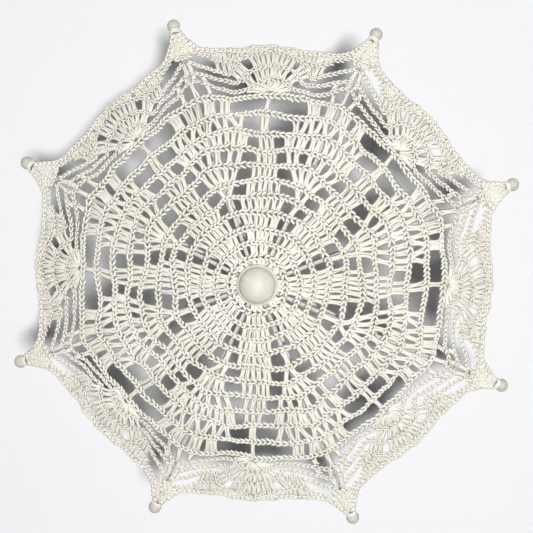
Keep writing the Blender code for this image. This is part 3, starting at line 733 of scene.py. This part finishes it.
def show(name, mesh, material, body, *nodes):
    """Links a mesh as a piece that rides on a body and stands for CAD nodes."""
    piece = bpy.data.objects.new(name, mesh)
    bpy.context.scene.collection.objects.link(piece)
    mesh.materials.clear()
    mesh.materials.append(material)
    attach(piece, body)
    if nodes:
        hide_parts(*nodes)
    return piece


def make_canopy():
    for index in range(RIBS):
        azimuth = index * SECTOR
        name, rib = f"canopy_lace_{index + 1}", f"rib_{index + 1}"
        lace = Lace(azimuth, 40 + index)
        work_rounds(lace)
        work_edging(lace, 1)
        work_edging(lace, -1)
        work_spine(lace)
        mesh = strand_mesh(name, lace.batches)
        piece = show(name, mesh, COTTON, rib, f"canopy_sector_{index + 1}")
        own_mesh(piece)


make_canopy()


def make_centre():
    """The clamped middle of the canopy, under the cap: one ring of posts between two lines."""
    lace = Lace(0.0, 7)
    inner, outer = 0.035, 0.0605        # shares of TIP_R
    thin = 0.66
    turn = np.linspace(0, 360, 73)
    for line in (inner, outer):
        lace.chain(polar(line, turn), 0.5 * LINE_W, thin)
    angles = np.arange(0, 360, 36.0)
    lace.posts(polar(inner, angles), polar(outer, angles), 0.8 * POST_W, thin)
    piece = show("canopy_ring", strand_mesh("canopy_ring", lace.batches), COTTON, "shaft", "canopy_centre")


make_centre()


# ---- Turned pieces --------------------------------------------------------------------------
# Profiles are (radius, height) in millimetres, from the axis at the bottom to the axis at the top.
SHARP_DEG = 38


def lathe(name, profile, segments=96):
    """Closed solid turned about +Z from a profile that starts and ends on the axis."""
    rings = [(radius * MM, height * MM) for radius, height in profile[1:-1]]
    angles = [2 * math.pi * k / segments for k in range(segments)]
    points = [(0, 0, profile[0][1] * MM)]
    for radius, height in rings:
        points += [(radius * math.cos(a), radius * math.sin(a), height) for a in angles]
    points.append((0, 0, profile[-1][1] * MM))
    last = len(points) - 1
    faces = []
    for k in range(segments):
        after = (k + 1) % segments
        faces.append((0, 1 + after, 1 + k))
        for ring in range(len(rings) - 1):
            low, high = 1 + ring * segments, 1 + (ring + 1) * segments
            faces.append((low + k, low + after, high + after, high + k))
        low = 1 + (len(rings) - 1) * segments
        faces.append((low + k, low + after, last))
    mesh = bpy.data.meshes.new(name)
    mesh.from_pydata(points, [], faces)
    mesh.shade_smooth()
    mesh.set_sharp_from_angle(angle=math.radians(SHARP_DEG))
    return mesh


def arc(radius_at, height_at, radius, start, end, steps):
    """Points of an arc in the profile's plane, angles in degrees from the horizontal."""
    angles = [math.radians(start + (end - start) * i / steps) for i in range(steps + 1)]
    return [(radius_at + radius * math.cos(a), height_at + radius * math.sin(a)) for a in angles]


def make_cap():
    """Low dome with a rolled flange. Its blind bore takes the top of the shaft."""
    low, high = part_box("finial_cap")
    total = (high.z - low.z) / MM
    flange_r, dome_r, seat, bore_r, bore_top = high.x / MM, 11.3, 1.9, 3.9, 6.1
    profile = [(0, bore_top), (bore_r, bore_top), (bore_r, 0), (flange_r - 0.6, 0)]
    profile += arc(flange_r - 0.45, 0.45, 0.45, -90, 50, 6)
    profile += [(flange_r - 0.55, 0.98), (flange_r - 1.1, 1.36), (dome_r + 0.18, 1.66), (dome_r, seat + 0.3)]
    dome_steps = 26
    for i in range(2, dome_steps):
        t = math.radians(90 * i / dome_steps)
        profile.append((dome_r * math.cos(t), seat + (total - seat) * math.sin(t)))
    profile.append((0, total))
    mesh = lathe("cap", profile)
    mesh.transform(Matrix.Translation((0, 0, low.z)))
    show("cap", mesh, IVORY, "shaft", "finial_cap")


def make_tips():
    """Balls with a short neck and a socket for the rib's end."""
    ball = BALL_R / MM
    neck, deep = NECK_R / MM, NECK_LEN / MM
    socket_r, socket_deep = 1.9, 4
    start = -math.degrees(math.acos(neck * 0.86 / ball))
    profile = [(0, -deep + socket_deep), (socket_r, -deep + socket_deep), (socket_r, -deep)]
    profile += [(neck - 0.2, -deep), (neck, -deep + 0.2)]
    profile += [(neck, -deep + 1.6), (neck * 0.92, -deep + 2.6), (neck * 0.88, -deep + 3.6)]
    profile += arc(0, 0, ball, start + 3, 88, 26)
    profile.append((0, ball))
    lean = math.pi / 2 + float(rib_slope(TIP_R))
    for index in range(RIBS):
        azimuth = index * SECTOR
        place = Matrix.Translation((TIP_R * math.cos(azimuth), TIP_R * math.sin(azimuth), TIP_Z))
        turn = Matrix.Rotation(azimuth, 4, "Z") @ Matrix.Rotation(lean, 4, "Y")
        name = f"tip_ball_{index + 1}"
        mesh = lathe(name, profile, 64)
        mesh.transform(place @ turn)
        show(name, mesh, TIP_IVORY, f"rib_{index + 1}", f"tip_{index + 1}")


def make_grip():
    """Turned handle with a foot, two beads and a swelling grip, as in the CAD model but finer.

    Its blind bore takes the bottom of the shaft.
    """
    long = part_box("handle")[1].z / MM
    bore_r, bore_deep = 3.9, 45
    profile = [(0, 0), (5.6, 0)] + arc(6.4, 0.6, 0.6, -90, 0, 4) + [(7.0, 1.5), (7.0, 2.6)]
    profile += arc(6.4, 2.8, 0.6, 0, 80, 4)
    profile += [(5.7, 4.2), (5.35, 5.0), (5.1, 6.0), (5.0, 6.7), (5.35, 7.1)]
    profile += arc(5.0, 9.6, 2.4, -76, 76, 14)
    profile += [(5.0, 12.4), (4.9, 13.4), (5.0, 14.6), (5.3, 16.0)]
    low, high, steps = 16.0, long - 16.0, 30
    slim, swell = 5.3, 2.0              # radius at the grip's ends, and what its middle adds
    for i in range(1, steps):
        t = i / steps
        profile.append((slim + swell * math.sin(math.pi * t ** 0.8), low + (high - low) * t))
    profile += [(5.05, high), (4.95, high + 0.7), (5.3, high + 1.15)]
    profile += arc(5.2, high + 3.4, 2.2, -72, 72, 14)
    profile += [(5.15, high + 5.9), (5.1, high + 7.0), (5.25, high + 10), (5.6, long - 1.2)]
    profile += [(5.75, long - 0.4), (5.5, long), (bore_r, long)]
    profile += [(bore_r, long - bore_deep), (0, long - bore_deep)]
    show("grip", lathe("grip", profile), WOOD, "shaft", "handle")


make_cap()
make_tips()
make_grip()


# ---- Finishes of the CAD nodes --------------------------------------------------------------
FINISHES = {
    "ivory": IVORY, "enamelled_steel": ENAMEL, "bright_steel": STEEL,
    "painted_wood": WOOD, "brass": BRASS, "cotton_lace": COTTON,
}
for node in frame["nodes"].values():
    for slot in node.material_slots:
        slot.material = FINISHES[slot.material.name.split(".")[0]]


# ---- Floor and light ------------------------------------------------------------------------
FLOOR_SIZE = 8


def make_stage():
    n = Nodes("floor")
    colour = n.ramp(n.noise(1.5, 3), (0.3, (0.715, 0.715, 0.727)), (0.7, (0.725, 0.725, 0.737)))
    rough = n.ramp(n.noise(30, 2), (0.3, 0.85), (0.7, 0.95))
    material = n.finish(colour, rough)
    bpy.ops.mesh.primitive_plane_add(size=FLOOR_SIZE)
    floor = bpy.context.object
    floor.name = "floor"
    floor.data.materials.append(material)


def area_light(name, place, size, power, aim=(0, 0, 0.2)):
    data = bpy.data.lights.new(name, "AREA")
    data.shape = "DISK"
    data.size = size
    data.energy = power
    light = bpy.data.objects.new(name, data)
    light.location = place
    light.rotation_euler = (Vector(place) - Vector(aim)).to_track_quat("Z", "Y").to_euler()
    bpy.context.scene.collection.objects.link(light)


KEY_DISTANCE = 4.0
KEY_SIZE = 0.33
KEY_POWER = 210
KEY_UP, KEY_RIGHT = -0.05, 0.055        # the key light's tilt from the camera's own direction
GAMMA = 0.80
# The studio's walls: brightness by height, from the horizon (0) to straight up (1).
SKY = ((0.0, 0.80), (0.12, 0.70), (0.35, 0.10), (1.0, 0.03))


def make_lights():
    toward_key = (VIEW_AWAY + KEY_UP * VIEW_UP + KEY_RIGHT * VIEW_RIGHT).normalized()
    area_light("key", VIEW_TARGET + KEY_DISTANCE * toward_key, KEY_SIZE, KEY_POWER)
    world = bpy.data.worlds.new("studio")
    world.use_nodes = True
    nodes, links = world.node_tree.nodes, world.node_tree.links
    split = nodes.new("ShaderNodeSeparateXYZ")
    links.new(nodes.new("ShaderNodeTexCoord").outputs["Generated"], split.inputs["Vector"])
    ramp = nodes.new("ShaderNodeValToRGB")
    links.new(split.outputs["Z"], ramp.inputs["Fac"])
    elements = ramp.color_ramp.elements
    while len(elements) < len(SKY):
        elements.new(0.5)
    for element, (height, level) in zip(elements, SKY):
        element.position = height
        element.color = (0.97 * level, 0.98 * level, level, 1)
    links.new(ramp.outputs["Color"], nodes["Background"].inputs["Color"])
    bpy.context.scene.world = world
    bpy.context.scene.view_settings.view_transform = "Standard"
    bpy.context.scene.view_settings.gamma = GAMMA


make_stage()
make_lights()
